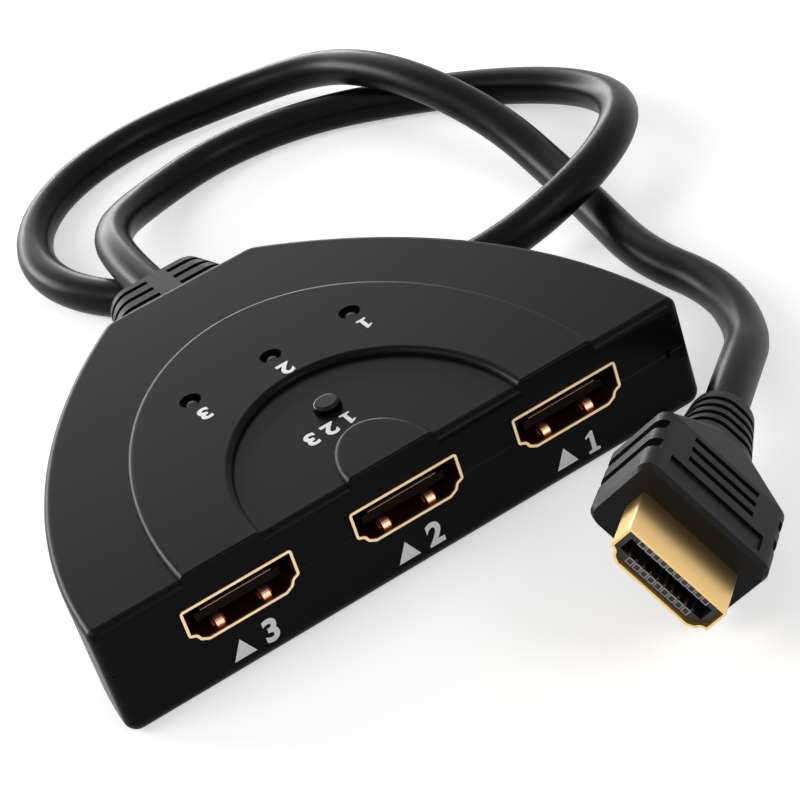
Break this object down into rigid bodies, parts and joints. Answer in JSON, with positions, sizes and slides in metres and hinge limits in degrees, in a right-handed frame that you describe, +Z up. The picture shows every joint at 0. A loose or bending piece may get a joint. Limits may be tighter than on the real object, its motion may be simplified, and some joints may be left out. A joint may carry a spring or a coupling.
{
  "type": "hdmi switch box",
  "caption": "Half-oval video switch box with sockets in its flat face, a select button, indicator lamps and a fixed output lead that ends in a plug.",
  "frame": {"origin": "on the surface that the box lies on, under the middle of the box's own outline (casing, socket rims and strain relief, without the free cord and plug)", "axes": "+X along the socket face, to the right as seen from in front of it; +Y from the socket face to the strain relief; +Z up through the lid"},
  "size_m": [0.1143, 0.1752, 0.022],
  "materials": {
    "case_plastic": "fine grained black",
    "screw_steel": "zinc plated",
    "board_laminate": "green solder mask",
    "gold_plating": "bright gold coloured plating",
    "socket_insulator": "very dark red-brown",
    "contact_metal": "bright spring metal",
    "button_plastic": "smooth black",
    "switch_plastic": "smooth black",
    "tinned_metal": "tinned, bright",
    "lamp_resin": "smoked clear resin, unlit",
    "chip_resin": "moulded black resin",
    "capacitor_ceramic": "tan ceramic",
    "boot_rubber": "soft black",
    "cord_jacket": "smooth black jacket with a soft sheen",
    "wire_insulation": "coloured wire insulation",
    "plug_plastic": "moulded black",
    "insulator_plastic": "black"
  },
  "bodies": {
    "housing": {"top_cover": "case_plastic", "bottom_cover": "case_plastic", "cover_screws": "screw_steel", "circuit_board": "board_laminate", "input_shell_1": "gold_plating", "input_insulator_1": "socket_insulator", "input_contacts_1": "contact_metal", "input_shell_2": "gold_plating", "input_insulator_2": "socket_insulator", "input_contacts_2": "contact_metal", "input_shell_3": "gold_plating", "input_insulator_3": "socket_insulator", "input_contacts_3": "contact_metal", "tact_switch_body": "switch_plastic", "tact_switch_legs": "tinned_metal", "led_1": "lamp_resin", "led_2": "lamp_resin", "led_3": "lamp_resin", "led_legs": "tinned_metal", "switch_chip": "chip_resin", "switch_chip_pins": "tinned_metal", "voltage_regulator": "chip_resin", "resistors": "chip_resin", "capacitors": "capacitor_ceramic", "diodes": "chip_resin", "cable_boot": "boot_rubber", "cable_tail": "cord_jacket", "inner_wires": "wire_insulation", "cable": "cord_jacket", "plug_grip": "plug_plastic", "plug_shell": "gold_plating", "plug_insulator": "insulator_plastic", "plug_contacts": "contact_metal"},
    "button": {"select_button": "button_plastic", "tact_switch_plunger": "button_plastic"}
  },
  "joints": [
    {"name": "button_press", "type": "slide", "parent": "housing", "child": "button", "axis": [0, 0, -1], "range_m": [0, 0.0004], "stiffness_N_per_m": 500, "springref_m": -0.0002}
  ]
}
